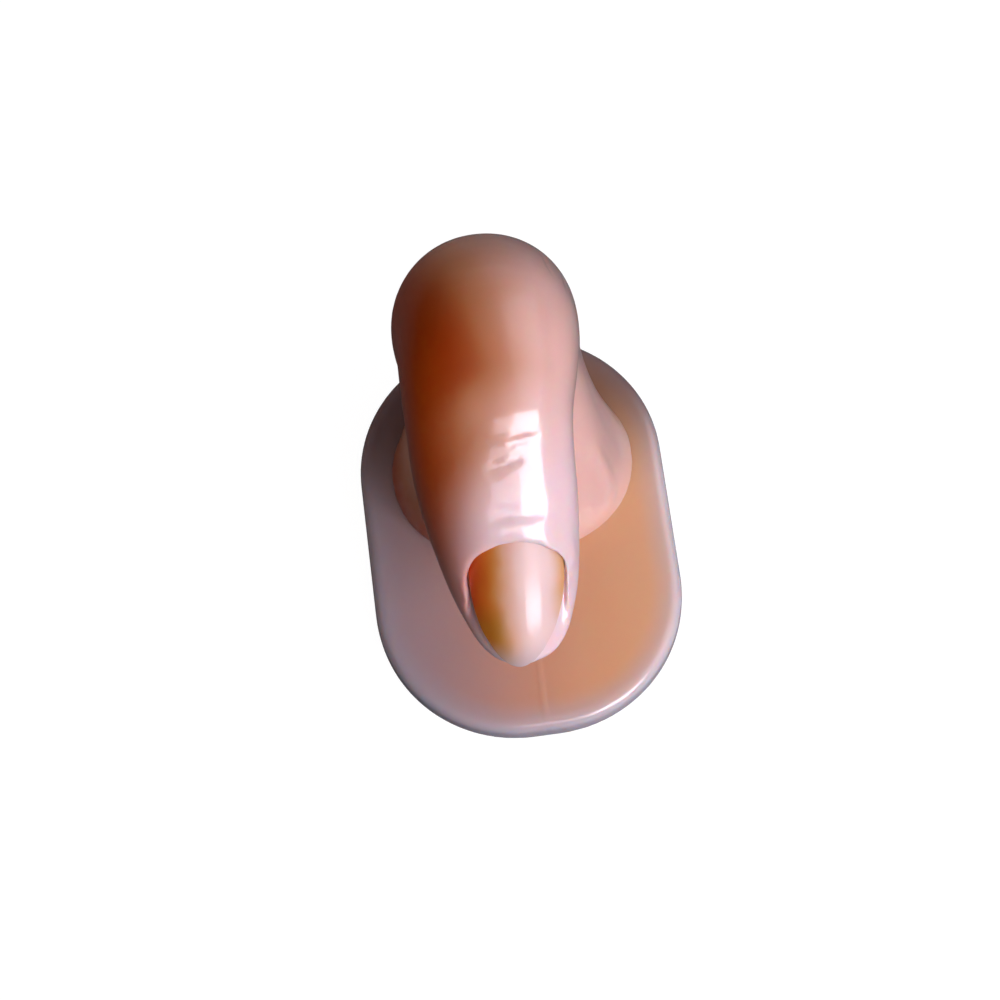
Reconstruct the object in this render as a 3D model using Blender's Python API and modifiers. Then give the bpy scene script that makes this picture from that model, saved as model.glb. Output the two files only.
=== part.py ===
"""Nail practice finger: a soft bent finger on an oval pad, with a nail tip that slides out of its bed.

The finger is a loft through sections that fan round the knuckle. Each section is set by a point on
the back of the finger, a point on its palm side and a width. The cavity and the hard core follow
the same sections, drawn in by the wall, and the nail bed follows the nail's own curve.
Metres, +Z up, fingertip towards -Y, origin on the underside of the pad.
"""
from math import cos, pi, radians, sin, sqrt

import bmesh
import bpy
from mathutils import Vector

# Pad
PAD_WIDTH = 0.040
PAD_LENGTH = 0.055
PAD_THICKNESS = 0.0045
PAD_RIM_RADIUS = 0.0013

# The pad's corner radius as a share of its width
PAD_CORNER_SHARE = 0.4575

# Finger: its height over the pad, its length from the back of the knuckle to the fingertip, its widths
FINGER_HEIGHT = 0.0452
FINGER_LENGTH = 0.0511
KNUCKLE_BACK = 0.0259
FOOT_WIDTH = 0.0322
KNUCKLE_WIDTH = 0.022
SKIN_WALL = 0.0032

# Hard core: a stem stands in a socket in the pad, and the far end is rounded
STEM_WIDTH = 0.0125
STEM_LENGTH = 0.0095
SOCKET_DEPTH = 0.003
CORE_END_ROUND = 0.003

# Nail tip: the root is the part hidden under the cuticle, a bow is how far an edge arches
NAIL_WIDTH = 0.0114
NAIL_LENGTH = 0.0158
NAIL_ROOT = 0.0040
NAIL_THICKNESS = 0.0006
NAIL_CROWN = 0.0028
NAIL_ALONG_RADIUS = 0.055
NAIL_SLOPE = radians(30)
NAIL_TURN = radians(5.5)
NAIL_TIP_BOW = 0.0022
NAIL_ROOT_BOW = 0.0010

# Nail bed: how deep the nail lies under the skin and how far the cuticle arches
NAIL_DEPTH = 0.0009
CUTICLE_ARCH = 0.0050

# Touching pieces keep this gap, and cutters run past what they cut by this much
CLEARANCE = 0.0003
OVERRUN = 0.002

RING_POINTS = 40
CORE_RING_POINTS = 24
STEPS = 4

# One row per section, from the foot round the knuckle to the fingertip.
# Back of the finger: distance from the knuckle's back and height, as shares of length and height.
# Palm side: the same two. Width: shares of the foot's and the knuckle's. Sway: share of the knuckle's.
# Fullness: how square the back half and the palm half are, 2 being an ellipse.
SECTION_SHARES = (
    (0.071, 0.000, 0.591, 0.000, 1.00, 0.00, 0.010, 1.85, 2.20),
    (0.073, 0.071, 0.577, 0.071, 0.78, 0.21, 0.005, 1.90, 2.50),
    (0.061, 0.179, 0.526, 0.188, 0.38, 0.62, 0.000, 2.00, 2.80),
    (0.039, 0.336, 0.462, 0.305, 0.12, 0.87, -0.005, 2.05, 2.60),
    (0.012, 0.524, 0.417, 0.407, 0.00, 0.98, -0.010, 2.10, 2.30),
    (0.000, 0.708, 0.397, 0.473, 0.00, 1.01, -0.020, 2.10, 2.20),
    (0.059, 0.869, 0.401, 0.518, 0.00, 1.03, -0.045, 2.05, 2.20),
    (0.186, 0.978, 0.421, 0.549, 0.00, 1.00, -0.040, 2.10, 2.20),
    (0.338, 0.998, 0.452, 0.558, 0.00, 0.96, -0.060, 2.15, 2.20),
    (0.476, 0.934, 0.495, 0.551, 0.00, 0.91, -0.085, 2.20, 2.20),
    (0.585, 0.850, 0.546, 0.527, 0.00, 0.89, -0.095, 2.20, 2.20),
    (0.687, 0.779, 0.605, 0.482, 0.00, 0.86, -0.090, 2.20, 2.20),
    (0.778, 0.708, 0.676, 0.422, 0.00, 0.80, -0.080, 2.10, 2.20),
    (0.864, 0.628, 0.759, 0.365, 0.00, 0.71, -0.068, 2.00, 2.20),
    (0.931, 0.569, 0.837, 0.349, 0.00, 0.59, -0.062, 1.85, 2.10),
    (0.975, 0.522, 0.904, 0.359, 0.00, 0.46, -0.060, 1.75, 2.00),
    (0.999, 0.489, 0.959, 0.394, 0.00, 0.28, -0.060, 1.75, 2.00),
    (1.000, 0.458, 0.993, 0.441, 0.00, 0.04, -0.060, 1.90, 2.00),
)
CUTICLE_SECTION = 12
CORE_LAST_SECTION = 11

# Where along the nail it is turned about, as a share of its length
TURN_SHARE = 0.7

# Half-widths along the nail, as shares of the full one, at even steps from root to free edge
NAIL_WIDTH_SHARES = (0.55, 0.78, 0.91, 0.98, 1.00, 1.00, 0.97, 0.92, 0.84, 0.73, 0.55)


def clear_scene():
    for old in list(bpy.data.objects):
        bpy.data.objects.remove(old, do_unlink=True)


def collection(name):
    made = bpy.data.collections.new(name)
    bpy.context.scene.collection.children.link(made)
    return made


def material(name, colour, roughness, alpha=1.0):
    made = bpy.data.materials.new(name)
    made.use_nodes = True
    shader = made.node_tree.nodes["Principled BSDF"]
    shader.inputs["Base Color"].default_value = (*colour, 1.0)
    shader.inputs["Roughness"].default_value = roughness
    shader.inputs["Metallic"].default_value = 0.0
    shader.inputs["Alpha"].default_value = alpha
    made.diffuse_color = (*colour, alpha)
    return made


def add_object(name, mesh, home, finish=None):
    made = bpy.data.objects.new(name, mesh)
    home.objects.link(made)
    if finish:
        mesh.materials.append(finish)
    else:
        made.hide_render = True
        made.display_type = "WIRE"
    return made


def boolean(target, cutter, operation="DIFFERENCE"):
    cut = target.modifiers.new(operation.title() + " " + cutter.name, "BOOLEAN")
    cut.operation = operation
    cut.solver = "EXACT"
    cut.object = cutter


def smooth(mesh, angle=radians(40)):
    mesh.shade_smooth()
    mesh.set_sharp_from_angle(angle=angle)


def loft(name, rings):
    """A closed mesh through rings of equal count, flat at both ends."""
    form = bmesh.new()
    rows = [[form.verts.new(point) for point in ring] for ring in rings]
    count = len(rows[0])
    for low, high in zip(rows, rows[1:]):
        for i in range(count):
            j = (i + 1) % count
            form.faces.new((low[i], low[j], high[j], high[i]))
    form.faces.new(reversed(rows[0]))
    form.faces.new(rows[-1])
    bmesh.ops.recalc_face_normals(form, faces=form.faces)
    mesh = bpy.data.meshes.new(name)
    form.to_mesh(mesh)
    form.free()
    return mesh


def spline(rows, last, steps=STEPS):
    """Rows read at even steps from a smooth curve through them, as far as row number last."""
    fine = []
    for k in range(last):
        before, here = rows[max(k - 1, 0)], rows[k]
        there, after = rows[k + 1], rows[min(k + 2, len(rows) - 1)]
        for step in range(steps):
            t = step / steps
            fine.append([
                ((2 * b) + (c - a) * t + (2 * a - 5 * b + 4 * c - d) * t ** 2
                 + (3 * b - a - 3 * c + d) * t ** 3) / 2
                for a, b, c, d in zip(before, here, there, after)
            ])
    fine.append(list(rows[last]))
    return fine


def finger_sections():
    """The table turned into lengths: back point, palm point, half-width, sway and fullness."""
    seat = PAD_THICKNESS + CLEARANCE
    return [
        (
            KNUCKLE_BACK - back * FINGER_LENGTH,
            seat + back_rise * FINGER_HEIGHT,
            KNUCKLE_BACK - palm * FINGER_LENGTH,
            seat + palm_rise * FINGER_HEIGHT,
            (foot * FOOT_WIDTH + knuckle * KNUCKLE_WIDTH) / 2,
            sway * KNUCKLE_WIDTH,
            back_fullness,
            palm_fullness,
        )
        for back, back_rise, palm, palm_rise, foot, knuckle, sway, back_fullness, palm_fullness
        in SECTION_SHARES
    ]


def power(value, exponent):
    return abs(value) ** exponent * (1 if value > 0 else -1)


def ring(section, inset, points):
    """One section as a ring of points, drawn in by an inset."""
    back_y, back_z, palm_y, palm_z, half_width, sway, back_fullness, palm_fullness = section
    back = Vector((sway, back_y, back_z))
    palm = Vector((sway, palm_y, palm_z))
    half = (back - palm) / 2
    up = half.normalized() * (half.length - inset)
    across = Vector((half_width - inset, 0, 0))
    made = []
    for i in range(points):
        turn = 2 * pi * i / points
        fullness = back_fullness if cos(turn) > 0 else palm_fullness
        middle = (back + palm) / 2
        made.append(middle + up * power(cos(turn), 2 / fullness) + across * power(sin(turn), 2 / fullness))
    return made


def inner_rings(inset):
    """Rings of the core, or of the cavity round it, with a rounded far end."""
    fine = spline(finger_sections(), CORE_LAST_SECTION)
    rings = []
    for i, section in enumerate(fine):
        into_end = max(0, i + STEPS + 1 - len(fine)) / STEPS
        rounding = CORE_END_ROUND * (1 - sqrt(1 - into_end ** 2))
        rings.append(ring(section, inset + rounding, CORE_RING_POINTS))
    return rings


def oval_pin(name, width, length, low, high):
    """An upright oval cylinder between two heights, on the foot's middle."""
    foot = finger_sections()[0]
    form = bmesh.new()
    bmesh.ops.create_cone(form, cap_ends=True, segments=32, radius1=1, radius2=1, depth=1)
    bmesh.ops.scale(form, vec=(width / 2, length / 2, high - low), verts=form.verts)
    bmesh.ops.translate(form, vec=(foot[5], (foot[0] + foot[2]) / 2, (low + high) / 2), verts=form.verts)
    mesh = bpy.data.meshes.new(name)
    form.to_mesh(mesh)
    form.free()
    return mesh


def make_base_plate(home, cutters):
    form = bmesh.new()
    bmesh.ops.create_cube(form, size=1)
    bmesh.ops.scale(form, vec=(PAD_WIDTH, PAD_LENGTH, PAD_THICKNESS), verts=form.verts)
    bmesh.ops.translate(form, vec=(0, 0, PAD_THICKNESS / 2), verts=form.verts)
    upright = [edge for edge in form.edges if abs(edge.verts[0].co.z - edge.verts[1].co.z) > CLEARANCE]
    corner = PAD_CORNER_SHARE * PAD_WIDTH
    bmesh.ops.bevel(form, geom=upright, offset=corner, segments=12, profile=0.5, affect="EDGES")
    flat = [face for face in form.faces if abs(face.normal.z) > 0.9]
    rim = list({edge for face in flat for edge in face.edges})
    bmesh.ops.bevel(form, geom=rim, offset=PAD_RIM_RADIUS, segments=3, profile=0.5, affect="EDGES")
    mesh = bpy.data.meshes.new("base_plate")
    form.to_mesh(mesh)
    form.free()
    smooth(mesh)
    pad = add_object("base_plate", mesh, home, material("Translucent tan PVC", (0.78, 0.56, 0.46), 0.18, 0.9))
    socket = oval_pin(
        "stem socket",
        STEM_WIDTH + 2 * CLEARANCE,
        STEM_LENGTH + 2 * CLEARANCE,
        PAD_THICKNESS - SOCKET_DEPTH,
        PAD_THICKNESS + OVERRUN,
    )
    boolean(pad, add_object("stem socket", socket, cutters))
    return pad


def make_core(home, cutters):
    mesh = loft("finger_core", inner_rings(SKIN_WALL + CLEARANCE))
    smooth(mesh)
    core = add_object("finger_core", mesh, home, material("White ABS", (0.86, 0.84, 0.80), 0.5))
    bottom = PAD_THICKNESS - SOCKET_DEPTH + CLEARANCE
    stem = oval_pin("core stem", STEM_WIDTH, STEM_LENGTH, bottom, PAD_THICKNESS + OVERRUN)
    boolean(core, add_object("core stem", stem, cutters), "UNION")
    return core


def bed_place():
    """Where the nail's top meets the cuticle, under the skin."""
    back_y, back_z, _, _, _, sway, _, _ = finger_sections()[CUTICLE_SECTION]
    return Vector((
        sway + sin(NAIL_TURN) * NAIL_LENGTH * TURN_SHARE,
        back_y + NAIL_DEPTH * sin(NAIL_SLOPE),
        back_z - NAIL_DEPTH * cos(NAIL_SLOPE),
    ))


def bend(along, height):
    """A place beside the nail's curve, straight along the hidden root and bent ahead of the cuticle."""
    angle = max(along, 0) / NAIL_ALONG_RADIUS
    straight = min(along, 0)
    return (
        straight + NAIL_ALONG_RADIUS * sin(angle) + height * sin(angle),
        height * cos(angle) - NAIL_ALONG_RADIUS * (1 - cos(angle)),
    )


def crown(across):
    """How far the nail's top falls at a distance from its middle line."""
    return NAIL_CROWN * (2 * across / NAIL_WIDTH) ** 2


def steepness(across):
    """How much longer an upright step through the nail is than a square one, from its side slope."""
    return sqrt(1 + (8 * NAIL_CROWN * across / NAIL_WIDTH ** 2) ** 2)


def in_bed(made):
    made.location = bed_place()
    made.rotation_mode = "ZYX"
    made.rotation_euler = (NAIL_SLOPE, 0, -NAIL_TURN)
    return made


def nail_rows(steps):
    """From the root to the free edge: each row's share of the length, and of the full width."""
    shares = spline([(share,) for share in NAIL_WIDTH_SHARES], len(NAIL_WIDTH_SHARES) - 1, steps)
    return [(i / (len(shares) - 1), share) for i, (share,) in enumerate(shares)]


def nail_along(ahead, side):
    """Distance ahead of the cuticle of a point on the nail, whose two ends are bowed."""
    bow = NAIL_ROOT_BOW * (1 - ahead) - NAIL_TIP_BOW * ahead
    return ahead * (NAIL_ROOT + NAIL_LENGTH) - NAIL_ROOT + side ** 2 * bow


def nail_reach(across):
    """How far ahead of the cuticle the nail and its clearance go, at a distance from the middle line."""
    for ahead, share in reversed(nail_rows(STEPS)):
        half = share * NAIL_WIDTH / 2
        if abs(across) <= half + CLEARANCE:
            return nail_along(ahead, min(1, abs(across) / half)) + CLEARANCE
    return CLEARANCE


def make_nail(home):
    columns = 14
    form = bmesh.new()
    rows = []
    for ahead, share in nail_rows(2):
        row = []
        for j in range(columns + 1):
            side = 2 * j / columns - 1
            across = side * share * NAIL_WIDTH / 2
            along, height = bend(nail_along(ahead, side), -crown(across))
            row.append(form.verts.new((across, -along, height)))
        rows.append(row)
    for near, far in zip(rows, rows[1:]):
        for j in range(columns):
            form.faces.new((near[j], far[j], far[j + 1], near[j + 1]))
    mesh = bpy.data.meshes.new("nail_tip")
    form.to_mesh(mesh)
    form.free()
    smooth(mesh)
    nail = add_object("nail_tip", mesh, home, material("Natural ABS nail", (0.82, 0.64, 0.53), 0.12, 0.85))
    shell = nail.modifiers.new("Thickness", "SOLIDIFY")
    shell.thickness = NAIL_THICKNESS
    shell.offset = -1
    shell.use_even_offset = True
    return in_bed(nail)


def bed_cutter(name, cutters, rear, front, ceiling):
    """A solid over the bed. Its floor follows the nail's underside as far as the nail goes, and then
    runs straight ahead, the way that the nail slides, so the skin stays up round the nail's sides."""
    columns = 24
    half = NAIL_WIDTH / 2 + CLEARANCE
    rings = []
    for j in range(columns + 1):
        across = half * (2 * j / columns - 1)
        floor = crown(across) + (NAIL_THICKNESS + CLEARANCE) * steepness(across)
        start = rear(across / half)
        end = min(nail_reach(across), front)
        steps = 8
        outline = [bend(start + (end - start) * i / steps, -floor) for i in range(steps + 1)]
        top = ceiling(across)
        outline += [(front + OVERRUN, outline[-1][1]), (front + OVERRUN, top), (outline[0][0], top)]
        rings.append([(across, -along, height) for along, height in outline])
    return in_bed(add_object(name, loft(name, rings), cutters))


def make_skin(home, cutters):
    outer = [ring(section, 0, RING_POINTS) for section in spline(finger_sections(), len(SECTION_SHARES) - 1)]
    mesh = loft("finger_skin", outer)
    smooth(mesh, radians(50))
    skin = add_object("finger_skin", mesh, home, material("Flesh PVC", (0.80, 0.55, 0.46), 0.22))
    hollow = inner_rings(SKIN_WALL)
    hollow.insert(0, [point - Vector((0, 0, OVERRUN)) for point in hollow[0]])
    ahead = (hollow[-1][0] - hollow[-2][0]).normalized() * CLEARANCE
    hollow.append([point + ahead for point in hollow[-1]])
    boolean(skin, add_object("core cavity", loft("core cavity", hollow), cutters))
    slot = bed_cutter(
        "root slot",
        cutters,
        lambda share: -(NAIL_ROOT + CLEARANCE) * (1 - share ** 4),
        CUTICLE_ARCH,
        lambda across: CLEARANCE * steepness(across) - crown(across),
    )
    boolean(skin, slot)
    window = bed_cutter(
        "nail window",
        cutters,
        lambda share: CUTICLE_ARCH * (1 - sqrt(1 - share ** 2)),
        NAIL_LENGTH + OVERRUN,
        lambda across: NAIL_DEPTH + OVERRUN,
    )
    boolean(skin, window)
    return skin


def main():
    clear_scene()
    home = collection("Nail practice finger")
    cutters = collection("Cutters")
    make_base_plate(home, cutters)
    make_skin(home, cutters)
    make_core(home, cutters)
    make_nail(home)


main()
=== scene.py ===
import math

import bpy
from mathutils import Matrix, Vector, kdtree


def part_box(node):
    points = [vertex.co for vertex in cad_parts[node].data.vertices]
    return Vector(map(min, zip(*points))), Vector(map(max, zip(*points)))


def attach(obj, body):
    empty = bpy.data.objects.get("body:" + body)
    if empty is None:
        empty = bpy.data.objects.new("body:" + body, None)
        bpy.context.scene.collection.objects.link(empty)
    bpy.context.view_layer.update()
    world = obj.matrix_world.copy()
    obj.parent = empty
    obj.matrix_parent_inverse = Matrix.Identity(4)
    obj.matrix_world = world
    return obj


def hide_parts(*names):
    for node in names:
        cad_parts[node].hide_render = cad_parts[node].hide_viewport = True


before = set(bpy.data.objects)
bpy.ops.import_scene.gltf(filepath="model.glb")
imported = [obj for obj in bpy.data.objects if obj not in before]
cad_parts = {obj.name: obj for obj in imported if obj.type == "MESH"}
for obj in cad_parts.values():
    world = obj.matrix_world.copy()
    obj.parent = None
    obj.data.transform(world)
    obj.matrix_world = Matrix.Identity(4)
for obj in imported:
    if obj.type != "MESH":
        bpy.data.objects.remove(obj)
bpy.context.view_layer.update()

# Nail practice finger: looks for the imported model. Lengths in the dictionaries are in millimetres.
print("frame loaded, pieces:", ", ".join(sorted(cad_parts)))


# Small tools

def mm(value):
    return value / 1000


def point(place):                       # a place in millimetres as a vector in metres
    return Vector([mm(value) for value in place])


def linear(hexColour):                  # sRGB hex to the linear colour that a shader takes
    shares = [int(hexColour[i:i + 2], 16) / 255 for i in (1, 3, 5)]
    return tuple(s / 12.92 if s <= 0.04045 else ((s + 0.055) / 1.055) ** 2.4 for s in shares) + (1.0,)


def heading(azimuth, elevation):        # azimuth 0 is towards the front, 90 towards the right
    turn, rise = math.radians(azimuth), math.radians(elevation)
    return Vector((math.sin(turn) * math.cos(rise), -math.cos(turn) * math.cos(rise), math.sin(rise)))


def pickOnly(piece):
    if bpy.context.mode != "OBJECT":
        bpy.ops.object.mode_set(mode="OBJECT")
    bpy.ops.object.select_all(action="DESELECT")
    piece.select_set(True)
    bpy.context.view_layer.objects.active = piece


def pickFaces(piece, wanted):           # leaves the piece in edit mode with only these faces picked
    pickOnly(piece)
    bpy.ops.object.mode_set(mode="EDIT")
    bpy.ops.mesh.select_mode(type="FACE")
    bpy.ops.mesh.select_all(action="DESELECT")
    bpy.ops.object.mode_set(mode="OBJECT")
    for face in piece.data.polygons:
        face.select = wanted(face.center, face.normal)
    bpy.ops.object.mode_set(mode="EDIT")


def pickEdges(piece, wanted):           # the same for edges, by their two ends
    pickOnly(piece)
    bpy.ops.object.mode_set(mode="EDIT")
    bpy.ops.mesh.select_mode(type="EDGE")
    bpy.ops.mesh.select_all(action="DESELECT")
    bpy.ops.object.mode_set(mode="OBJECT")
    spots = piece.data.vertices
    for edge in piece.data.edges:
        edge.select = wanted(spots[edge.vertices[0]].co, spots[edge.vertices[1]].co)
    bpy.ops.object.mode_set(mode="EDIT")


def objectMode():
    bpy.ops.object.mode_set(mode="OBJECT")


def addModifier(piece, kind, settings):
    pickOnly(piece)
    made = piece.modifiers.new(kind.title(), kind)
    for name, value in settings.items():
        setattr(made, name, value)
    bpy.ops.object.modifier_apply(modifier=made.name)


def pieceFromNode(nodeName, pieceName):  # a copy of a CAD node, its loose triangles merged first
    piece = bpy.data.objects.new(pieceName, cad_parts[nodeName].data.copy())
    bpy.context.scene.collection.objects.link(piece)
    piece.data.name = pieceName
    piece.data.materials.clear()
    pickOnly(piece)
    bpy.ops.object.mode_set(mode="EDIT")
    bpy.ops.mesh.select_all(action="SELECT")
    bpy.ops.mesh.remove_doubles(threshold=mm(0.002))
    bpy.ops.mesh.customdata_custom_splitnormals_clear()
    objectMode()
    return piece


def relax(piece, rounds, held=None):    # smooths voxel steps; held says how much each point stays put
    settings = {"factor": 0.5, "iterations": rounds}
    if held is not None:
        group = piece.vertex_groups.new(name="held")
        for index, share in held.items():
            group.add([index], share, "REPLACE")
        settings["vertex_group"] = group.name
        settings["invert_vertex_group"] = True
    addModifier(piece, "SMOOTH", settings)
    if held is not None:
        piece.vertex_groups.remove(piece.vertex_groups["held"])


def closeIn(piece, tree, shape):        # brings the bed up to the nail that lies in it
    reach = mm(shape["bedReach"])
    shares = {}
    for spot in piece.data.vertices:
        near, index, distance = tree.find(spot.co)
        if distance < reach * 2:        # full up to the reach, none at twice the reach
            facing = (near - spot.co).normalized().dot(spot.normal)
            shares[spot.index] = min(1, 2 - distance / reach) * max(0, min(1, 1.5 * facing))
    pairs = [edge.vertices[:] for edge in piece.data.edges]
    ends = [(a, b) for a, b in pairs if a in shares and b in shares]
    for _ in range(shape["evenRounds"]):  # evened over the neighbours
        sums = {index: (share, 1) for index, share in shares.items()}
        for a, b in ends:
            sums[a] = (sums[a][0] + shares[b], sums[a][1] + 1)
            sums[b] = (sums[b][0] + shares[a], sums[b][1] + 1)
        shares = {index: total / count for index, (total, count) in sums.items()}
    group = piece.vertex_groups.new(name="bed")
    for index, share in shares.items():
        group.add([index], share, "REPLACE")
    addModifier(piece, "DISPLACE", {
        "strength": mm(shape["bedRise"]), "mid_level": 0.0, "vertex_group": "bed",
    })
    piece.vertex_groups.remove(piece.vertex_groups["bed"])


def calm(piece, places, reach, rounds):  # smooths only round these places
    spots = [point(place) for place in places]
    held = {}
    for spot in piece.data.vertices:
        distance = min((spot.co - place).length for place in spots)
        held[spot.index] = min(1, max(0, distance / mm(reach) * 2 - 1))
    relax(piece, rounds, held)


def raisePaths(piece, paths):           # pushes lines and swellings out, or in where the height is below 0
    stepLength = mm(0.12)
    reach = 2.4                         # in widths: the bump is nothing beyond it
    tree = kdtree.KDTree(len(piece.data.vertices))
    for spot in piece.data.vertices:
        tree.insert(spot.co, spot.index)
    tree.balance()
    for sign in (1, -1):
        heights = {}
        for path in paths:
            if path["height"] * sign <= 0:
                continue
            corners = [point(place) for place in path["places"]]
            lengths = [(b - a).length for a, b in zip(corners, corners[1:])]
            whole, done = sum(lengths), 0
            for start, end, length in zip(corners, corners[1:], lengths):
                steps = max(1, round(length / stepLength))
                for step in range(steps):
                    here = start.lerp(end, step / steps)
                    travel = (done + length * step / steps) / whole
                    fade = min(1, travel / path["fade"], (1 - travel) / path["fade"])
                    fade = fade * fade * (3 - 2 * fade)
                    here, nearest, _ = tree.find(here)
                    outward = piece.data.vertices[nearest].normal
                    for _, index, distance in tree.find_range(here, mm(path["width"]) * reach):
                        facing = max(0, piece.data.vertices[index].normal.dot(outward))
                        share = math.exp(-(distance / mm(path["width"])) ** 2) * facing ** 2 * fade
                        height = abs(path["height"]) * share
                        if height > heights.get(index, 0):
                            heights[index] = height
                done += length
        if not heights:
            continue
        tallest = max(heights.values())
        group = piece.vertex_groups.new(name="raised")
        for index, height in heights.items():
            group.add([index], height / tallest, "REPLACE")
        addModifier(piece, "DISPLACE", {
            "strength": sign * mm(tallest), "mid_level": 0.0, "vertex_group": group.name,
        })
        piece.vertex_groups.remove(piece.vertex_groups["raised"])


def addNode(tree, kind, settings=None, links=None):
    node = tree.nodes.new(kind)
    for name, value in (settings or {}).items():
        if name == "stops":
            ramp = node.color_ramp
            while len(ramp.elements) < len(value):
                ramp.elements.new(0.5)
            for stop, (spot, colour) in zip(ramp.elements, value):
                stop.position, stop.color = spot, colour
            ramp.interpolation = "B_SPLINE"
        elif isinstance(name, str) and hasattr(node, name):
            setattr(node, name, value)
        else:
            node.inputs[name].default_value = value
    for name, (source, output) in (links or {}).items():
        tree.links.new(source.outputs[output], node.inputs[name])
    return node


def newMaterial(name):
    made = bpy.data.materials.new(name)
    made.use_nodes = True
    made.node_tree.nodes.clear()
    return made


def finishPiece(piece, material, body, node):
    pickOnly(piece)
    bpy.ops.object.shade_smooth()
    piece.data.materials.clear()
    piece.data.materials.append(material)
    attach(piece, body)
    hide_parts(node)


# Soft PVC, slush moulded: flesh tone through the wall, so light sinks in and comes back warm. Its colour
# also carries painted shade, orange-brown on the left and upper knuckle, and painted light, paling to pink
# on the lit right side

skinLooks = {
    # painted shade: dark orange-brown round a centre left of the knuckle, paling outwards to flesh and to a
    # pale pink on the lit right side
    "paintedShadeTones": [(0.0, "#983404"), (0.24, "#A04612"), (0.44, "#B6754A"), (0.68, "#CA967A"), (1.0, "#E0BAB0")],
    "shadeCentre": (-10.0, 6.0), "shadeStretch": 0.7, "shadeFrom": 3.0, "shadeTo": 17.0,
    # paler, lilac towards the tip and the right side: partly a paler fingertip, partly painted light and
    # sheen of the lilac lamps on the lit side
    "paleTipAndSheen": "#E3CBCD", "distalFrom": 0.0, "distalTo": -12.0, "distalShare": 0.85, "distalTilt": 0.6,
    # painted shade: deep orange-brown along the left flank, which the lamps at the right do not reach
    "edge": "#963C04", "edgeFrom": -11.5, "edgeTo": -3.0,
    "lowShadeLift": 0.72, "lowTilt": 0.35, "lowFrom": 33.0, "lowTo": 20.0,   # painted shade lifted to plain flesh lower down
    "footFrom": 15.0, "footTo": 4.0, "footLow": 0.35,                   # and painted shade again at the foot
    "bandAt": -0.5, "bandReach": 5.0, "bandLift": 0.18,                 # paler band across the painted shade, just above the crease
    "patchSize": 9.0, "patchShare": 0.12, "grainSize": 0.45, "grainHeight": 0.010,
    "roughness": 0.30, "glossSway": 0.10, "ior": 1.50, "depth": 1.6, "spread": (1.0, 0.42, 0.22),
    "coatEdge": 0.15, "coat": 0.7, "coatRoughness": 0.09,
}


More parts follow.
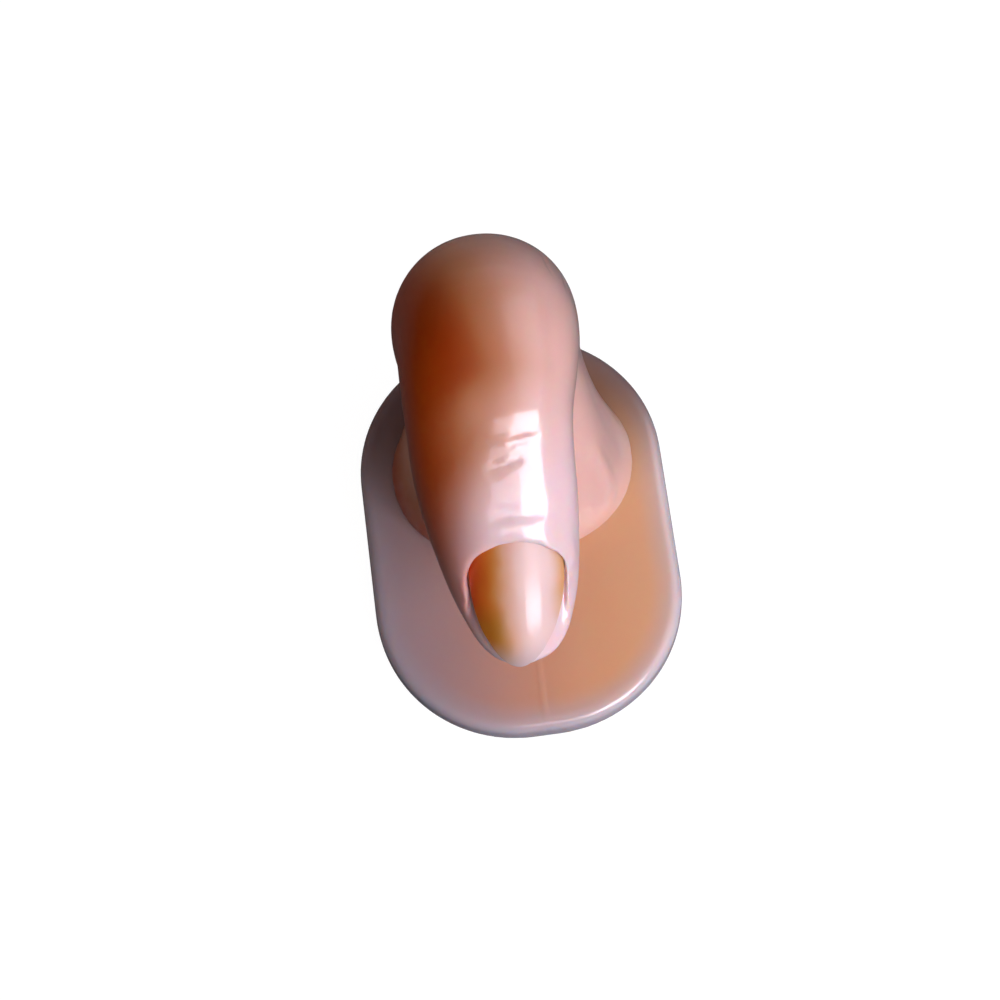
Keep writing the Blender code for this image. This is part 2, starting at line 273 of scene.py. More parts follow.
def skinMaterial():
    looks = skinLooks
    made = newMaterial("soft PVC, slush moulded")
    tree = made.node_tree
    place = addNode(tree, "ShaderNodeTexCoord")
    patches = addNode(tree, "ShaderNodeTexNoise", {
        "Scale": 1000 / looks["patchSize"], "Detail": 1.0, "Roughness": 0.4,
    }, {"Vector": (place, "Object")})
    axes = addNode(tree, "ShaderNodeSeparateXYZ", links={"Vector": (place, "Object")})
    # painted shade and light: the body colour follows the distance from that centre
    centre, stretch = looks["shadeCentre"], looks["shadeStretch"]
    around = addNode(tree, "ShaderNodeMapping", {
        "Location": point((-centre[0], -centre[1] * stretch, 0)), "Scale": (1, stretch, 0),
    }, {"Vector": (place, "Object")})
    radius = addNode(tree, "ShaderNodeVectorMath", {"operation": "LENGTH"}, {0: (around, "Vector")})
    shadeGradient = addNode(tree, "ShaderNodeMapRange", {
        "From Min": mm(looks["shadeFrom"]), "From Max": mm(looks["shadeTo"]),
    }, {"Value": (radius, "Value")})
    sway = addNode(tree, "ShaderNodeMath", {
        "operation": "MULTIPLY_ADD", 1: 2 * looks["patchShare"], 2: -looks["patchShare"],
    }, {0: (patches, "Fac")})
    # paler band lifted into the painted shade just above the crease
    past = addNode(tree, "ShaderNodeMath", {"operation": "SUBTRACT", 1: mm(looks["bandAt"])}, {
        0: (axes, "Y"),
    })
    away = addNode(tree, "ShaderNodeMath", {"operation": "ABSOLUTE"}, {0: (past, "Value")})
    band = addNode(tree, "ShaderNodeMapRange", {
        "From Min": mm(looks["bandReach"]), "From Max": 0.0, "To Max": looks["bandLift"],
        "interpolation_type": "SMOOTHSTEP",
    }, {"Value": (away, "Value")})
    lifted = addNode(tree, "ShaderNodeMath", {"operation": "ADD"}, {
        0: (shadeGradient, "Result"), 1: (band, "Result"),
    })
    mixed = addNode(tree, "ShaderNodeMath", {"operation": "ADD"}, {0: (lifted, "Value"), 1: (sway, "Value")})
    # painted shade is lifted to plain flesh lower on the finger and comes back at the foot
    height = addNode(tree, "ShaderNodeMath", {"operation": "MULTIPLY_ADD", 1: -looks["lowTilt"]}, {
        0: (axes, "Y"), 2: (axes, "Z"),
    })
    lowShare = addNode(tree, "ShaderNodeMapRange", {
        "From Min": mm(looks["lowFrom"]), "From Max": mm(looks["lowTo"]), "interpolation_type": "SMOOTHSTEP",
    }, {"Value": (height, "Value")})
    foot = addNode(tree, "ShaderNodeMapRange", {
        "From Min": mm(looks["footTo"]), "From Max": mm(looks["footFrom"]),
        "To Min": looks["footLow"], "interpolation_type": "SMOOTHSTEP",
    }, {"Value": (axes, "Z")})
    high = addNode(tree, "ShaderNodeMath", {"operation": "SUBTRACT", 0: 1.0}, {1: (lowShare, "Result")})
    low = addNode(tree, "ShaderNodeMath", {"operation": "MULTIPLY"}, {
        0: (lowShare, "Result"), 1: (foot, "Result"),
    })
    lowShadeLift = addNode(tree, "ShaderNodeMath", {"operation": "MULTIPLY", 1: looks["lowShadeLift"]}, {
        0: (low, "Value"),
    })
    lighter = addNode(tree, "ShaderNodeMath", {"operation": "MAXIMUM"}, {
        0: (mixed, "Value"), 1: (lowShadeLift, "Value"),
    })
    body = addNode(tree, "ShaderNodeValToRGB", {
        "stops": [(spot, linear(shade)) for spot, shade in looks["paintedShadeTones"]],
    }, {"Fac": (lighter, "Value")})
    # partly painted light: the pale lilac grows towards the tip and towards the lit right side, on the upper
    # parts only
    forward = addNode(tree, "ShaderNodeMath", {"operation": "MULTIPLY_ADD", 1: -looks["distalTilt"]}, {
        0: (axes, "X"), 2: (axes, "Y"),
    })
    ahead = addNode(tree, "ShaderNodeMapRange", {
        "From Min": mm(looks["distalFrom"]), "From Max": mm(looks["distalTo"]),
        "To Max": looks["distalShare"], "interpolation_type": "SMOOTHSTEP",
    }, {"Value": (forward, "Value")})
    upAhead = addNode(tree, "ShaderNodeMath", {"operation": "MULTIPLY"}, {
        0: (ahead, "Result"), 1: (high, "Value"),
    })
    paler = addNode(tree, "ShaderNodeMix", {"data_type": "RGBA", 7: linear(looks["paleTipAndSheen"])}, {
        0: (upAhead, "Value"), 6: (body, "Color"),
    })
    # painted shade down the left flank, kept off the lower finger
    inside = addNode(tree, "ShaderNodeMapRange", {
        "From Min": mm(looks["edgeFrom"]), "From Max": mm(looks["edgeTo"]),
        "interpolation_type": "SMOOTHSTEP",
    }, {"Value": (axes, "X")})
    within = addNode(tree, "ShaderNodeMath", {"operation": "MAXIMUM"}, {
        0: (inside, "Result"), 1: (low, "Value"),
    })
    colour = addNode(tree, "ShaderNodeMix", {"data_type": "RGBA", 6: linear(looks["edge"])}, {
        0: (within, "Value"), 7: (paler, 2),
    })
    grain = addNode(tree, "ShaderNodeTexNoise", {
        "Scale": 1000 / looks["grainSize"], "Detail": 3.0, "Roughness": 0.55,
    }, {"Vector": (place, "Object")})
    bump = addNode(tree, "ShaderNodeBump", {
        "Strength": 0.4, "Distance": mm(looks["grainHeight"]),
    }, {"Height": (grain, "Fac")})
    gloss = addNode(tree, "ShaderNodeMath", {
        "operation": "MULTIPLY_ADD", 1: looks["glossSway"], 2: looks["roughness"] - looks["glossSway"] / 2,
    }, {0: (patches, "Fac")})
    # the coat follows the same mask, so the painted-shade flank also shines less
    coatOffShadedFlank = addNode(tree, "ShaderNodeMath", {
        "operation": "MULTIPLY_ADD", 1: looks["coat"] - looks["coatEdge"], 2: looks["coatEdge"],
    }, {0: (within, "Value")})
    shader = addNode(tree, "ShaderNodeBsdfPrincipled", {
        "IOR": looks["ior"], "Subsurface Weight": 1.0, "Subsurface Radius": looks["spread"],
        "Subsurface Scale": mm(looks["depth"]), "Coat Roughness": looks["coatRoughness"],
    }, {
        "Base Color": (colour, 2), "Roughness": (gloss, "Value"),
        "Coat Weight": (coatOffShadedFlank, "Value"), "Normal": (bump, "Normal"),
    })
    addNode(tree, "ShaderNodeOutputMaterial", links={"Surface": (shader, "BSDF")})
    return made


# Finger: the CAD skin remeshed, its facets smoothed away, then creases and nail folds pressed in

fingerShape = {
    "voxel": 0.24, "rounds": 36, "lastRounds": 7, "kept": 0.68,     # kept is the share of the faces kept
    "edgeKeep": 0.7, "keepShare": 0.86, "bedReach": 0.8, "bedRise": 0.26, "evenRounds": 8,
    "footDrop": 0.27, "footHeight": 4.8,
    "calmPlaces": [
        (4.7, -15.0, 32.8), (4.9, -15.8, 31.8), (5.0, -16.6, 30.7),
        (5.1, -17.4, 29.6), (4.9, -18.3, 28.6), (4.5, -19.6, 27.3),
        (-6.5, -14.6, 34.6), (-7.0, -15.3, 33.5), (-7.3, -15.9, 32.4), (-7.3, -16.7, 31.2),
        (-7.45, -17.5, 30.1), (-7.4, -18.3, 28.8), (-7.5, -19.0, 27.8),
    ],
    "calmReach": 2.0, "calmRounds": 50,
    "paths": [
        {"places": [(-1.0, -4.1, 43.1), (0.7, -3.8, 43.1), (2.3, -3.5, 42.9), (3.9, -3.1, 42.5)],
         "width": 0.50, "height": -0.13, "fade": 0.4},
        {"places": [(-3.0, -6.2, 41.8), (-2.2, -6.2, 41.9),
                    (-0.7, -6.0, 42.0), (0.8, -5.5, 42.0), (2.2, -5.2, 41.9)],
         "width": 0.55, "height": -0.13, "fade": 0.3},
        {"places": [(-4.0, -2.1, 43.9), (-1.5, -2.1, 44.5),
                    (1.0, -1.9, 44.6), (4.0, -1.5, 44.0), (7.0, -0.8, 42.4)],
         "width": 3.0, "height": 0.46, "fade": 0.35},
        {"places": [(-4.7, -10.9, 38.7), (-2.1, -11.1, 39.0),
                    (0.8, -11.1, 38.7), (3.5, -10.7, 37.9), (5.7, -10.1, 36.4)],
         "width": 1.0, "height": -0.14, "fade": 0.3},
        {"places": [(-5.8, -12.4, 36.2), (-3.4, -12.5, 37.4),
                    (-0.6, -12.5, 37.6), (2.1, -12.6, 36.9), (4.3, -12.6, 35.7)],
         "width": 1.0, "height": 0.10, "fade": 0.25},
        {"places": [(4.9, -12.4, 35.4), (6.0, -13.4, 33.4), (6.5, -15.0, 31.7), (6.4, -16.6, 30.5)],
         "width": 0.8, "height": 0.12, "fade": 0.35},
        {"places": [(6.4, -15.2, 31.5), (6.1, -17.2, 30.1), (5.4, -19.2, 28.9), (4.6, -20.8, 27.6)],
         "width": 0.9, "height": -0.10, "fade": 0.35},
        {"places": [(-6.6, -12.0, 34.2), (-7.3, -12.8, 32.9), (-7.6, -14.3, 31.7),
                    (-7.9, -16.1, 30.4), (-8.0, -18.0, 29.2), (-7.5, -19.6, 28.0)],
         "width": 0.9, "height": -0.10, "fade": 0.35},
        {"places": [(9.6, 20.0, 37.2), (9.3, 18.5, 38.9), (9.3, 16.5, 41.0), (9.2, 14.5, 42.7)],
         "width": 0.35, "height": -0.10, "fade": 0.4},
        {"places": [(6.9, 20.8, 41.6), (7.5, 17.7, 43.8), (8.1, 15.4, 44.6)],
         "width": 0.35, "height": -0.08, "fade": 0.4},
        {"places": [(10.4, 5.7, 17.2), (11.1, 4.3, 14.8), (12.0, 3.0, 11.8),
                    (12.5, 1.7, 9.5), (12.0, 0.1, 7.9), (10.9, -1.2, 6.9)],
         "width": 1.3, "height": 0.35, "fade": 0.3},
    ],
}


def makeFinger():
    shape = fingerShape
    piece = pieceFromNode("finger_skin", "soft_finger")
    low = mm(shape["footHeight"])       # the flat ring under the foot is opened, which parts skin and cavity
    pickFaces(piece, lambda centre, normal: abs(centre.z - low) < mm(0.02) and abs(normal.z) > 0.9)
    bpy.ops.mesh.delete(type="FACE")
    bpy.ops.mesh.select_all(action="SELECT")
    bpy.ops.mesh.separate(type="LOOSE")
    objectMode()
    parts = sorted(bpy.context.selected_objects, key=lambda o: o.dimensions.length)
    piece, cavity = parts[-1], parts[-2]
    for crumb in parts[:-2]:
        bpy.data.objects.remove(crumb)
    for part, drop in ((piece, mm(shape["footDrop"])), (cavity, mm(shape["footHeight"]) / 2)):
        pickOnly(part)
        bpy.ops.object.mode_set(mode="EDIT")
        bpy.ops.mesh.select_mode(type="EDGE")
        bpy.ops.mesh.select_all(action="DESELECT")
        bpy.ops.mesh.select_non_manifold()
        bpy.ops.mesh.edge_face_add()
        bpy.ops.transform.translate(value=(0, 0, -drop))
        objectMode()
    addModifier(piece, "REMESH", {"mode": "VOXEL", "voxel_size": mm(shape["voxel"]), "adaptivity": 0.0})
    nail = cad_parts["nail_tip"].data
    tree = kdtree.KDTree(len(nail.vertices))
    for spot in nail.vertices:
        tree.insert(spot.co, spot.index)
    tree.balance()
    held = {}
    keep = mm(shape["edgeKeep"])
    for spot in piece.data.vertices:
        distance = tree.find(spot.co)[2]
        if distance < keep * 1.5:
            held[spot.index] = min(1, (keep * 1.5 - distance) / (keep * 0.5)) * shape["keepShare"]
    relax(piece, shape["rounds"], held)
    closeIn(piece, tree, shape)
    calm(piece, shape["calmPlaces"], shape["calmReach"], shape["calmRounds"])
    evenOut = 2                         # rounds left for after the thinning
    relax(piece, shape["lastRounds"] - evenOut)
    addModifier(piece, "DECIMATE", {"ratio": shape["kept"]})
    relax(piece, evenOut)
    raisePaths(piece, shape["paths"])
    addModifier(piece, "BOOLEAN", {"operation": "DIFFERENCE", "solver": "EXACT", "object": cavity})
    bpy.data.objects.remove(cavity)
    piece.name = piece.data.name = "soft_finger"
    finishPiece(piece, skinMaterial(), "finger", "finger_skin")
    triangles = sum(len(face.vertices) - 2 for face in piece.data.polygons)
    print("finger:", len(piece.data.polygons), "faces,", triangles, "triangles")
    return piece


finger = makeFinger()


# ABS, injection moulded thin: amber where it is seen edge on, milky towards the free edge,
# and buffed matt near the cuticle, which leaves the clear gloss only towards the tip

nailLooks = {
    # the paler lilac right half is partly the nail's own tint and partly a painted reflection of the lamps
    # at the right
    "across": [
        (0.03, "#C24604"), (0.17, "#CF6A12"), (0.27, "#CC8A3C"), (0.36, "#DAA886"), (0.5, "#DAB8AC"),
        (0.82, "#DEC6C4"), (0.94, "#CC965E"),
    ],
    "tip": "#ACA0A4", "tipFrom": -3.8, "tipTo": -9.2, "bend": 0.12,
    "olive": "#8C6C10", "oliveFrom": 1.0, "oliveTo": -3.0, "oliveShare": 0.55, "oliveLeft": (0.42, 0.18),
    "matt": 0.48, "mattFrom": 5.5, "gloss": 0.75, "glossFrom": -1.0, "glossRoughness": 0.12,
    "ior": 1.52, "depth": 0.8, "spread": (1.0, 0.6, 0.4),
    "cloudSize": 3.5, "cloudShift": 1.0, "ridgeGap": 0.35, "ridgeHeight": 0.004,
    "centre": (-1.4, -20.0, 31.5), "slope": 38, "turn": 5.5, "halfWidth": 5.7,
}


def nailMaterial():
    looks = nailLooks
    made = newMaterial("ABS, injection moulded")
    tree = made.node_tree
    place = addNode(tree, "ShaderNodeTexCoord")
    local = addNode(tree, "ShaderNodeMapping", {
        "vector_type": "TEXTURE", "Location": point(looks["centre"]),
        "Rotation": (math.radians(looks["slope"]), 0, -math.radians(looks["turn"])),
    }, {"Vector": (place, "Object")})
    axes = addNode(tree, "ShaderNodeSeparateXYZ", links={"Vector": (local, "Vector")})
    cloud = addNode(tree, "ShaderNodeTexNoise", {"Scale": 1000 / looks["cloudSize"], "Detail": 1.0}, {
        "Vector": (local, "Vector"),
    })
    wander = addNode(tree, "ShaderNodeMath", {
        "operation": "MULTIPLY_ADD", 1: mm(looks["cloudShift"]), 2: -mm(looks["cloudShift"]) / 2,
    }, {0: (cloud, "Fac")})
    side = addNode(tree, "ShaderNodeMath", {"operation": "ADD"}, {0: (axes, "X"), 1: (wander, "Value")})
    front = addNode(tree, "ShaderNodeMath", {"operation": "MINIMUM", 1: 0.0}, {0: (axes, "Y")})
    bent = addNode(tree, "ShaderNodeMath", {"operation": "MULTIPLY_ADD", 1: looks["bend"]}, {
        0: (front, "Value"), 2: (side, "Value"),
    })
    share = addNode(tree, "ShaderNodeMapRange", {
        "From Min": -mm(looks["halfWidth"]), "From Max": mm(looks["halfWidth"]),
    }, {"Value": (bent, "Value")})
    body = addNode(tree, "ShaderNodeValToRGB", {
        "stops": [(spot, linear(shade)) for spot, shade in looks["across"]],
    }, {"Fac": (share, "Result")})
    ahead = addNode(tree, "ShaderNodeMapRange", {
        "From Min": mm(looks["tipFrom"]), "From Max": mm(looks["tipTo"]), "interpolation_type": "SMOOTHSTEP",
    }, {"Value": (axes, "Y")})
    leftward = addNode(tree, "ShaderNodeMapRange", {
        "From Min": looks["oliveLeft"][0], "From Max": looks["oliveLeft"][1],
        "To Max": looks["oliveShare"], "interpolation_type": "SMOOTHSTEP",
    }, {"Value": (share, "Result")})
    lower = addNode(tree, "ShaderNodeMapRange", {
        "From Min": mm(looks["oliveFrom"]), "From Max": mm(looks["oliveTo"]),
        "interpolation_type": "SMOOTHSTEP",
    }, {"Value": (axes, "Y")})
    tinge = addNode(tree, "ShaderNodeMath", {"operation": "MULTIPLY"}, {
        0: (leftward, "Result"), 1: (lower, "Result"),
    })
    tinged = addNode(tree, "ShaderNodeMix", {"data_type": "RGBA", 7: linear(looks["olive"])}, {
        0: (tinge, "Value"), 6: (body, "Color"),
    })
    colour = addNode(tree, "ShaderNodeMix", {"data_type": "RGBA", 7: linear(looks["tip"])}, {
        0: (ahead, "Result"), 6: (tinged, 2),
    })
    ridges = addNode(tree, "ShaderNodeTexWave", {
        "wave_type": "BANDS", "bands_direction": "X", "Scale": 1000 / looks["ridgeGap"] / 20,
        "Distortion": 1.5, "Detail": 2.0, "Detail Scale": 0.6,
    }, {"Vector": (local, "Vector")})
    bump = addNode(tree, "ShaderNodeBump", {"Strength": 0.4, "Distance": mm(looks["ridgeHeight"])}, {
        "Height": (ridges, "Fac"),
    })
    buffed = addNode(tree, "ShaderNodeMapRange", {
        "From Min": mm(looks["glossFrom"]), "From Max": mm(looks["mattFrom"]),
        "To Min": looks["gloss"], "To Max": 0.0, "interpolation_type": "SMOOTHERSTEP",
    }, {"Value": (axes, "Y")})
    shader = addNode(tree, "ShaderNodeBsdfPrincipled", {
        "IOR": looks["ior"], "Subsurface Weight": 0.8,
        "Subsurface Radius": looks["spread"], "Subsurface Scale": mm(looks["depth"]),
        "Roughness": looks["matt"], "Coat Roughness": looks["glossRoughness"],
    }, {"Base Color": (colour, 2), "Coat Weight": (buffed, "Result"), "Normal": (bump, "Normal")})
    addNode(tree, "ShaderNodeOutputMaterial", links={"Surface": (shader, "BSDF")})
    return made


nailShape = {"edgeRound": 0.14, "segments": 2, "levels": 2}


def makeNail():
    shape = nailShape
    piece = pieceFromNode("nail_tip", "nail")
    pickFaces(piece, lambda centre, normal: True)
    bpy.ops.mesh.tris_convert_to_quads(face_threshold=math.radians(40), shape_threshold=math.radians(60))
    objectMode()
    addModifier(piece, "BEVEL", {
        "width": mm(shape["edgeRound"]), "segments": shape["segments"], "limit_method": "ANGLE",
        "angle_limit": math.radians(50),
    })
    addModifier(piece, "SUBSURF", {"levels": shape["levels"], "render_levels": shape["levels"]})
    finishPiece(piece, nailMaterial(), "nail", "nail_tip")
    print("nail:", len(piece.data.polygons), "faces")
    return piece


nail = makeNail()


# Soft PVC, cast clear tan: greyer to the left as painted shade, darker at the back as the finger's painted
# shadow, deeper tan to the right partly its own tan and partly a painted warm reflection of the finger, and
# milky lilac at the rim partly from its thin clear edge and partly a painted reflection of the lamps

padLooks = {
    # painted shade greys the left; the deeper tan to the right is partly own colour, partly a painted warm
    # reflection of the finger
    "across": [(0.0, "#A6949A"), (0.22, "#AE908E"), (0.45, "#C8967E"), (0.68, "#DEA67A"), (1.0, "#E8BA90")],
    # painted shadow: the finger's shadow darkens the pad towards the back
    "back": "#5E403A", "shadowFrom": 2.0, "shadowTo": 20.0, "shadowShare": 0.75,
    # rim colour: partly the thin clear edge, partly a painted reflection of the lamps; darker on the left as
    # painted shade, lighter on the right as painted light
    "rimShadedLeft": "#A39DA7", "rimLitRight": "#C8C3C8", "patchSize": 14.0, "patchShare": 0.08,
    "roughness": 0.22, "ior": 1.50, "depth": 2.5, "spread": (1.0, 0.5, 0.3),
    "coat": 0.6, "coatRoughness": 0.10,
    "rimWidth": 4.5, "rimBend": 1.6, "grainSize": 1.2, "grainHeight": 0.006,
}


def padMaterial():
    looks = padLooks
    made = newMaterial("soft PVC, cast clear")
    tree = made.node_tree
    place = addNode(tree, "ShaderNodeTexCoord")
    patches = addNode(tree, "ShaderNodeTexNoise", {
        "Scale": 1000 / looks["patchSize"], "Detail": 2.0, "Roughness": 0.45,
    }, {"Vector": (place, "Object")})
    axes = addNode(tree, "ShaderNodeSeparateXYZ", links={"Vector": (place, "Object")})
    low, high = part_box("base_plate")
    across = addNode(tree, "ShaderNodeMapRange", {"From Min": low.x, "From Max": high.x}, {
        "Value": (axes, "X"),
    })
    body = addNode(tree, "ShaderNodeValToRGB", {
        "stops": [(spot, linear(shade)) for spot, shade in looks["across"]],
    }, {"Fac": (across, "Result")})
    rim = addNode(tree, "ShaderNodeAttribute", {"attribute_name": "rimShare"})
    sway = addNode(tree, "ShaderNodeMath", {
        "operation": "MULTIPLY_ADD", 1: 2 * looks["patchShare"], 2: -looks["patchShare"],
    }, {0: (patches, "Fac")})
    # thin clear edge and painted reflection at the rim
    milkAndSheenShare = addNode(tree, "ShaderNodeMath", {"operation": "ADD", "use_clamp": True}, {
        0: (rim, "Fac"), 1: (sway, "Value"),
    })
    milkAndSheen = addNode(tree, "ShaderNodeMix", {
        "data_type": "RGBA", 6: linear(looks["rimShadedLeft"]), 7: linear(looks["rimLitRight"]),
    }, {0: (across, "Result")})
    rimmed = addNode(tree, "ShaderNodeMix", {"data_type": "RGBA"}, {
        0: (milkAndSheenShare, "Value"), 6: (body, "Color"), 7: (milkAndSheen, 2),
    })
    # painted shadow of the finger, growing towards the back
    shadowBehind = addNode(tree, "ShaderNodeMapRange", {
        "From Min": mm(looks["shadowFrom"]), "From Max": mm(looks["shadowTo"]),
        "To Max": looks["shadowShare"], "interpolation_type": "SMOOTHSTEP",
    }, {"Value": (axes, "Y")})
    colour = addNode(tree, "ShaderNodeMix", {"data_type": "RGBA", 7: linear(looks["back"])}, {
        0: (shadowBehind, "Result"), 6: (rimmed, 2),
    })
    grain = addNode(tree, "ShaderNodeTexNoise", {
        "Scale": 1000 / looks["grainSize"], "Detail": 2.0,
    }, {"Vector": (place, "Object")})
    bump = addNode(tree, "ShaderNodeBump", {"Strength": 0.4, "Distance": mm(looks["grainHeight"])}, {
        "Height": (grain, "Fac"),
    })
    shader = addNode(tree, "ShaderNodeBsdfPrincipled", {
        "IOR": looks["ior"], "Roughness": looks["roughness"], "Subsurface Weight": 1.0,
        "Subsurface Radius": looks["spread"], "Subsurface Scale": mm(looks["depth"]),
        "Coat Weight": looks["coat"], "Coat Roughness": looks["coatRoughness"],
    }, {"Base Color": (colour, 2), "Normal": (bump, "Normal")})
    addNode(tree, "ShaderNodeOutputMaterial", links={"Surface": (shader, "BSDF")})
    return made


padShape = {
    "cornerRadius": 18.3, "cornerSteps": 24, "rimRadius": 1.3, "rimSteps": 5, "voxel": 0.33, "rounds": 6,
    "socketGap": 0.3,
    "paths": [
        {"places": [(0.3, -12.0, 4.5), (0.25, -20.0, 4.5), (0.2, -26.0, 4.5), (0.2, -26.9, 4.3)],
         "width": 0.20, "height": 0.09, "fade": 0.03},
        {"places": [(0.2, -27.1, 4.0), (0.2, -27.5, 3.0), (0.2, -27.5, 1.2)],
         "width": 0.20, "height": -0.07, "fade": 0.2},
        {"places": [(0.2, 23.5, 4.5), (0.2, 26.0, 4.5), (0.2, 26.9, 4.3)],
         "width": 0.20, "height": 0.09, "fade": 0.1},
        {"places": [(0.2, 27.1, 4.0), (0.2, 27.5, 3.0), (0.2, 27.5, 1.2)],
         "width": 0.20, "height": -0.07, "fade": 0.2},
    ],
}


def makePad():
    shape = padShape
    low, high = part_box("base_plate")
    size, centre = high - low, (high + low) / 2
    bpy.ops.object.select_all(action="DESELECT")
    bpy.ops.mesh.primitive_cube_add(size=1, location=centre, scale=size)
    piece = bpy.context.active_object
    piece.name = piece.data.name = "pad"
    bpy.ops.object.transform_apply(location=True, rotation=True, scale=True)
    pickEdges(piece, lambda a, b: abs(a.z - b.z) > mm(1))
    bpy.ops.mesh.bevel(offset=mm(shape["cornerRadius"]), segments=shape["cornerSteps"], profile=0.5)
    level = mm(0.01)
    pickEdges(piece, lambda a, b: abs(a.z - b.z) < level and (a.z > low.z + mm(4) or a.z < low.z + mm(0.1)))
    bpy.ops.mesh.bevel(offset=mm(shape["rimRadius"]), segments=shape["rimSteps"], profile=0.5)
    objectMode()
    addModifier(piece, "REMESH", {"mode": "VOXEL", "voxel_size": mm(shape["voxel"]), "adaptivity": 0.0})
    relax(piece, shape["rounds"])
    raisePaths(piece, shape["paths"])
    stem = [spot.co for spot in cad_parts["finger_core"].data.vertices if spot.co.z < high.z - mm(0.5)]
    stemLow = Vector([min(spot[i] for spot in stem) for i in range(3)])
    stemHigh = Vector([max(spot[i] for spot in stem) for i in range(3)])
    gap = mm(shape["socketGap"])
    bpy.ops.object.select_all(action="DESELECT")
    bpy.ops.mesh.primitive_cylinder_add(
        vertices=48, radius=0.5, depth=1,
        location=((stemLow.x + stemHigh.x) / 2, (stemLow.y + stemHigh.y) / 2, stemLow.z - gap + high.z / 2),
        scale=(stemHigh.x - stemLow.x + 2 * gap, stemHigh.y - stemLow.y + 2 * gap, high.z),
    )
    socket = bpy.context.active_object
    bpy.ops.object.transform_apply(location=True, rotation=True, scale=True)
    addModifier(piece, "BOOLEAN", {"operation": "DIFFERENCE", "solver": "EXACT", "object": socket})
    bpy.data.objects.remove(socket)
    rim = piece.data.attributes.new("rimShare", "FLOAT", "POINT")
    half = size / 2
    radius = mm(shape["cornerRadius"])
    for spot in piece.data.vertices:
        x, y = abs(spot.co.x), abs(spot.co.y)
        out = Vector((max(0, x - half.x + radius), max(0, y - half.y + radius)))
        inside = radius - out.length if out.length > 0 else min(half.x - x, half.y - y)
        rim.data[spot.index].value = max(0, 1 - inside / mm(padLooks["rimWidth"])) ** padLooks["rimBend"]
    finishPiece(piece, padMaterial(), "finger", "base_plate")
    print("pad:", len(piece.data.polygons), "faces")
    return piece


pad = makePad()


# ABS, injection moulded solid: matt white, hidden inside the finger

coreLooks = {
    "white": "#E6E2D8", "roughness": 0.5, "roughnessSway": 0.05, "ior": 1.54,
    "grainSize": 0.3, "grainHeight": 0.01,
}


def coreMaterial():
    looks = coreLooks
    made = newMaterial("ABS, injection moulded white")
    tree = made.node_tree
    place = addNode(tree, "ShaderNodeTexCoord")
    grain = addNode(tree, "ShaderNodeTexNoise", {
        "Scale": 1000 / looks["grainSize"], "Detail": 2.0,
    }, {"Vector": (place, "Object")})
    bump = addNode(tree, "ShaderNodeBump", {"Strength": 0.5, "Distance": mm(looks["grainHeight"])}, {
        "Height": (grain, "Fac"),
    })
    shade = addNode(tree, "ShaderNodeMapRange", {
        "From Min": 0.3, "From Max": 0.7, "To Min": looks["roughness"] - looks["roughnessSway"],
        "To Max": looks["roughness"] + looks["roughnessSway"],
    }, {"Value": (grain, "Fac")})
    shader = addNode(tree, "ShaderNodeBsdfPrincipled", {
        "IOR": looks["ior"], "Base Color": linear(looks["white"]),
    }, {"Roughness": (shade, "Result"), "Normal": (bump, "Normal")})
    addNode(tree, "ShaderNodeOutputMaterial", links={"Surface": (shader, "BSDF")})
    return made


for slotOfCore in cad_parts["finger_core"].material_slots:
    slotOfCore.material = coreMaterial()
print("core finished")


# Stage: pale floor, a window-like pair of lamps at the front right, a broad soft one at the right,
# and two faint ones that only fill

stageValues = {
    "floorSize": 3.0, "floor": "#5A5858", "floorGlow": 0.97, "floorMirror": 0.015,
    "sky": "#E6E2EC", "skyDiffuse": 0.07, "skyMirror": 0.012,
    "centre": (0.0, -2.0, 28.0),
    "lamps": [
        {"name": "tall window", "azimuth": 36.5, "elevation": 28.5, "roll": -30,
         "distance": 0.45, "size": (0.24, 0.235), "colour": "#F6F1FF", "level": 11.0},
        {"name": "upper pane", "azimuth": 9, "elevation": 42, "roll": -5,
         "distance": 0.45, "size": (0.18, 0.127), "colour": "#F6F1FF", "level": 3.8},
        {"name": "broad right", "azimuth": 95, "elevation": 45, "roll": 0,
         "distance": 0.60, "size": (0.6, 0.5), "colour": "#F2ECFF", "level": 1.3},
        {"name": "faint top", "azimuth": 5, "elevation": 60, "roll": 0,
         "distance": 0.60, "size": (0.4, 0.4), "colour": "#FFF6F0", "level": 0.75, "shine": False},
        {"name": "faint back", "azimuth": -140, "elevation": 28, "roll": 0,
         "distance": 0.60, "size": (0.5, 0.5), "colour": "#FFE6D8", "level": 1.2, "shine": False},
    ],
    "cameraTarget": (-1.97, 5.85, 0.0), "cameraAzimuth": 0.4, "cameraElevation": 69, "cameraRoll": -8.1,
    "cameraDistance": 330.0, "lens": 88.956,
}


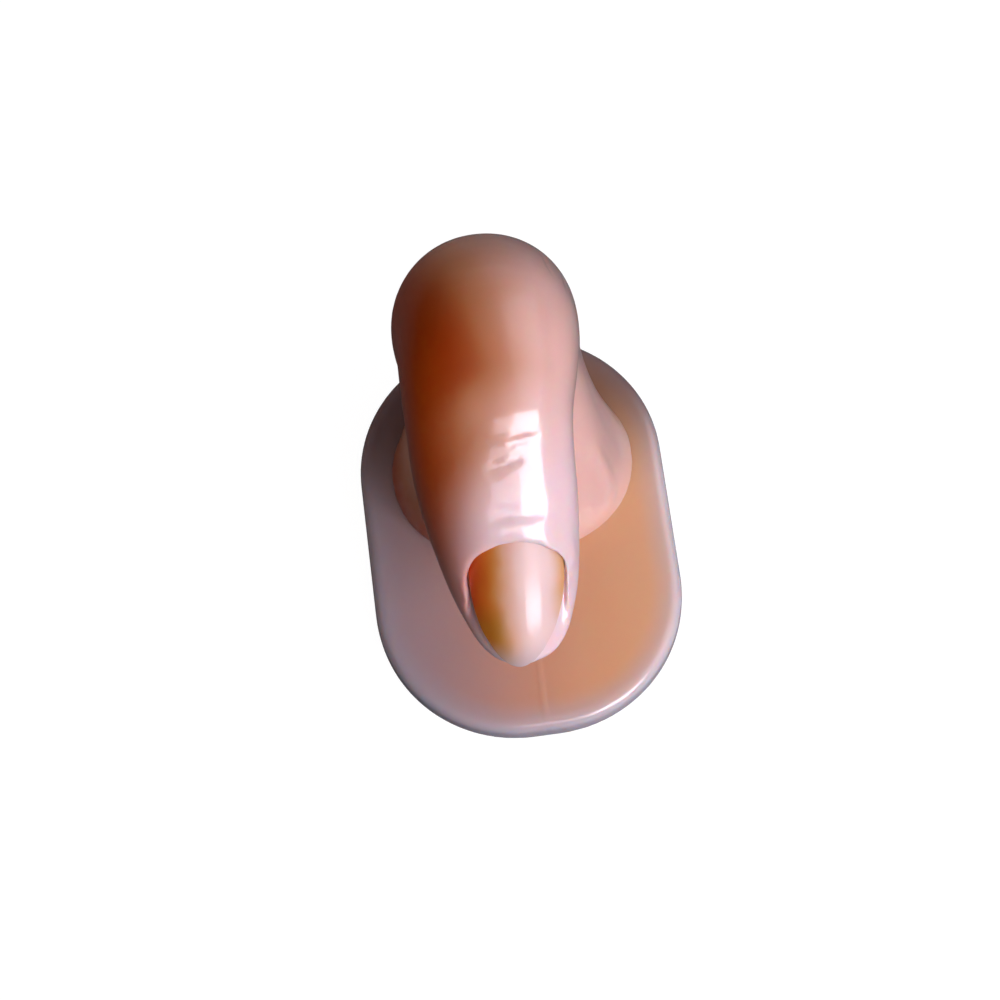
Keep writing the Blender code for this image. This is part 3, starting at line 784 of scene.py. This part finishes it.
def makeFloor():
    values = stageValues
    bpy.ops.object.select_all(action="DESELECT")
    bpy.ops.mesh.primitive_plane_add(size=values["floorSize"])
    floor = bpy.context.active_object
    floor.name = "floor"
    made = newMaterial("pale floor")
    tree = made.node_tree
    rays = addNode(tree, "ShaderNodeLightPath")
    mirror = addNode(tree, "ShaderNodeMath", {"operation": "MAXIMUM"}, {
        0: (rays, "Is Glossy Ray"), 1: (rays, "Is Transmission Ray"),
    })
    low = addNode(tree, "ShaderNodeMath", {"operation": "MULTIPLY", 1: values["floorMirror"]}, {
        0: (mirror, "Value"),
    })
    glow = addNode(tree, "ShaderNodeMath", {"operation": "MULTIPLY_ADD", 1: values["floorGlow"]}, {
        0: (rays, "Is Camera Ray"), 2: (low, "Value"),
    })
    lit = addNode(tree, "ShaderNodeBsdfDiffuse", {"Color": linear(values["floor"])})
    glowing = addNode(tree, "ShaderNodeEmission", {"Color": linear("#FFFFFF")}, {
        "Strength": (glow, "Value"),
    })
    both = addNode(tree, "ShaderNodeAddShader", links={0: (lit, "BSDF"), 1: (glowing, "Emission")})
    addNode(tree, "ShaderNodeOutputMaterial", links={"Surface": (both, "Shader")})
    floor.data.materials.append(made)
    return floor


def makeSky():
    values = stageValues
    world = bpy.data.worlds.new("studio")
    bpy.context.scene.world = world
    world.use_nodes = True
    tree = world.node_tree
    tree.nodes.clear()
    rays = addNode(tree, "ShaderNodeLightPath")
    mirror = addNode(tree, "ShaderNodeMath", {"operation": "MAXIMUM"}, {
        0: (rays, "Is Glossy Ray"), 1: (rays, "Is Transmission Ray"),
    })
    level = addNode(tree, "ShaderNodeMix", {
        "data_type": "FLOAT", 2: values["skyDiffuse"], 3: values["skyMirror"],
    }, {0: (mirror, "Value")})
    dim = addNode(tree, "ShaderNodeBackground", {"Color": linear(values["sky"])}, {"Strength": (level, 0)})
    white = addNode(tree, "ShaderNodeBackground", {"Color": linear("#FFFFFF"), "Strength": 1.0})
    both = addNode(tree, "ShaderNodeMixShader", links={
        0: (rays, "Is Camera Ray"), 1: (dim, "Background"), 2: (white, "Background"),
    })
    addNode(tree, "ShaderNodeOutputWorld", links={"Surface": (both, "Shader")})


def makeLamps():
    centre = point(stageValues["centre"])
    for lamp in stageValues["lamps"]:
        towards = heading(lamp["azimuth"], lamp["elevation"])
        bpy.ops.object.light_add(type="AREA", location=centre + towards * lamp["distance"])
        made = bpy.context.active_object
        made.name = lamp["name"]
        upright = towards.to_track_quat("Z", "Y").to_matrix()
        made.rotation_euler = (upright @ Matrix.Rotation(math.radians(lamp["roll"]), 3, "Z")).to_euler()
        made.data.shape = "RECTANGLE"
        made.data.size, made.data.size_y = lamp["size"]
        made.data.color = linear(lamp["colour"])[:3]
        made.data.energy = math.pi * lamp["size"][0] * lamp["size"][1] * lamp["level"]
        made.visible_glossy = lamp.get("shine", True)


def makeCamera():
    values = stageValues
    back = heading(values["cameraAzimuth"], values["cameraElevation"])
    side = (-back).cross(Vector((0, 0, 1))).normalized()
    up = side.cross(-back)
    roll = math.radians(values["cameraRoll"])
    rolledSide = side * math.cos(roll) + up * math.sin(roll)
    rolledUp = up * math.cos(roll) - side * math.sin(roll)
    turned = Matrix((rolledSide, rolledUp, back)).transposed().to_4x4()
    turned.translation = point(values["cameraTarget"]) + back * mm(values["cameraDistance"])
    bpy.ops.object.camera_add()
    camera = bpy.context.active_object
    camera.matrix_world = turned
    camera.data.sensor_width = 36
    camera.data.lens = values["lens"]
    camera.data.clip_start = 0.01
    bpy.context.scene.camera = camera


makeFloor()
makeSky()
makeLamps()
makeCamera()
bpy.context.scene.view_settings.view_transform = "Standard"
print("stage, lamps and camera set")
